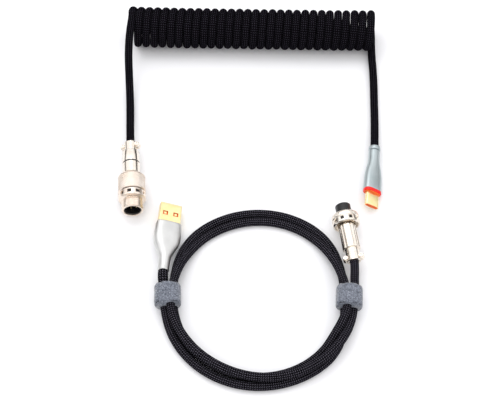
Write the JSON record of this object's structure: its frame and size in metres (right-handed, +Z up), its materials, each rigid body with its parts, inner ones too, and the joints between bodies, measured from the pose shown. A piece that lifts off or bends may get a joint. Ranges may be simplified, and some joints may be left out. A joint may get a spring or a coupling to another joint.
{
  "type": "coiled keyboard cable",
  "caption": "Detachable braided keyboard cable: a coiled part and a part wound in a ring with straps, joined by threaded round connectors.",
  "frame": {"origin": "on the table, under the middle of the layout of both cables", "axes": "+Z up, +Y from the wound ring towards the coil, +X along the coil from its socket end to its type-C end"},
  "size_m": [0.1504, 0.242, 0.0248],
  "materials": {
    "cord": "black nylon braid",
    "nickel": "bright nickel plate",
    "gold": "bright gold plate",
    "black_plastic": "moulded, matte",
    "zinc_housing": "satin zinc alloy",
    "orange_plastic": "moulded, semi-gloss",
    "red_plastic": "moulded, semi-gloss",
    "strap_fabric": "brushed loop fabric",
    "circuit_board": "solder mask"
  },
  "bodies": {
    "host_cable": {"host_cord_ring": "cord", "host_lead_type_a": "cord", "host_lead_plug": "cord", "strap_left": "strap_fabric", "strap_right": "strap_fabric", "type_a_housing": "zinc_housing", "type_a_shell": "gold", "type_a_tongue": "orange_plastic", "type_a_contacts": "gold", "type_a_board": "circuit_board", "plug_barrel": "nickel", "plug_clamp_saddle": "nickel", "plug_clamp_screws": "nickel", "plug_insert": "black_plastic", "plug_sockets": "gold"},
    "snap_ring": {"plug_snap_ring": "nickel"},
    "coupling_nut": {"plug_coupling_nut": "nickel"},
    "coiled_cable": {"coil": "cord", "coil_lead_socket": "cord", "socket_shell": "nickel", "socket_rear_sleeve": "nickel", "socket_tail_sleeve": "nickel", "socket_clamp_saddle": "nickel", "socket_clamp_screws": "nickel", "socket_insulator": "black_plastic", "socket_pins": "gold"},
    "type_c_end": {"coil_lead_type_c": "cord", "type_c_housing": "zinc_housing", "type_c_collar": "zinc_housing", "type_c_band": "red_plastic", "type_c_shell": "gold", "type_c_insert": "orange_plastic", "type_c_contacts": "gold", "type_c_board": "circuit_board"}
  },
  "joints": [
    {"name": "nut_slide", "type": "slide", "parent": "host_cable", "child": "snap_ring", "axis": [-0.134, 0.991, 0], "range_m": [0, 0.0027]},
    {"name": "nut_spin", "type": "hinge", "parent": "snap_ring", "child": "coupling_nut", "pos_m": [0.05108, -0.02578, 0.0075], "axis": [-0.134, 0.991, 0], "continuous": true},
    {"name": "coiled_cable_shift", "type": "slide", "parent": "host_cable", "child": "coiled_cable", "axis": [0, 1, 0], "range_m": [0, 0.06]},
    {"name": "coil_stretch", "type": "slide", "parent": "coiled_cable", "child": "type_c_end", "axis": [0.9997, -0.0224, 0], "range_m": [0, 0.1], "stiffness_N_per_m": 15, "deforming": ["coil"]}
  ]
}
